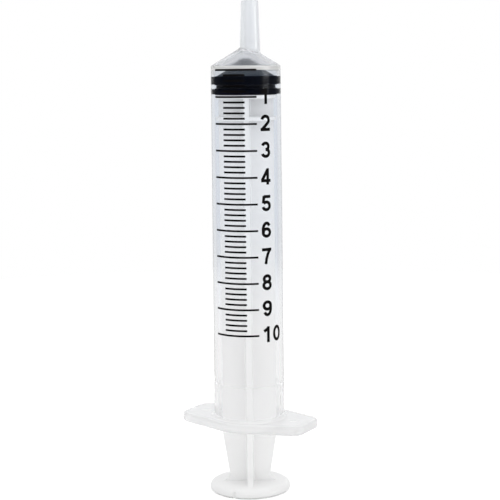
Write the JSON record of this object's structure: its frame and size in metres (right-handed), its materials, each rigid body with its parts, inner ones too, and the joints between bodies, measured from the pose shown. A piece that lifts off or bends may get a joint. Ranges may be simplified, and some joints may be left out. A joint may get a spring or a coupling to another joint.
{
  "type": "luer slip syringe",
  "caption": "Disposable 10 mL three-piece syringe with a plain slip tip, clear barrel with finger flange, cross-ribbed plunger and black rubber stopper.",
  "frame": {"origin": "centre of the thumb press's lower face, on the syringe's axis", "axes": "+Z from the thumb press to the tip, +X along the finger flange, -Y towards the side with the scale, whose middle lies 9 degrees round towards +X"},
  "size_m": [0.0324, 0.0196, 0.1146],
  "materials": {
    "barrel_plastic": "clear natural polypropylene, slightly milky, glossy",
    "plunger_plastic": "natural polypropylene, translucent, satin",
    "stopper_rubber": "black rubber, lightly siliconed"
  },
  "bodies": {
    "barrel": {"barrel": "barrel_plastic"},
    "stopper": {"stopper": "stopper_rubber"},
    "plunger": {"plunger": "plunger_plastic"}
  },
  "joints": [
    {"name": "plunger_slide", "type": "slide", "parent": "barrel", "child": "stopper", "axis": [0, 0, -1], "range_m": [-0.00135, 0.0665]},
    {"name": "plunger_spin", "type": "hinge", "parent": "stopper", "child": "plunger", "pos_m": [0, 0, 0.09475], "axis": [0, 0, 1], "continuous": true}
  ]
}
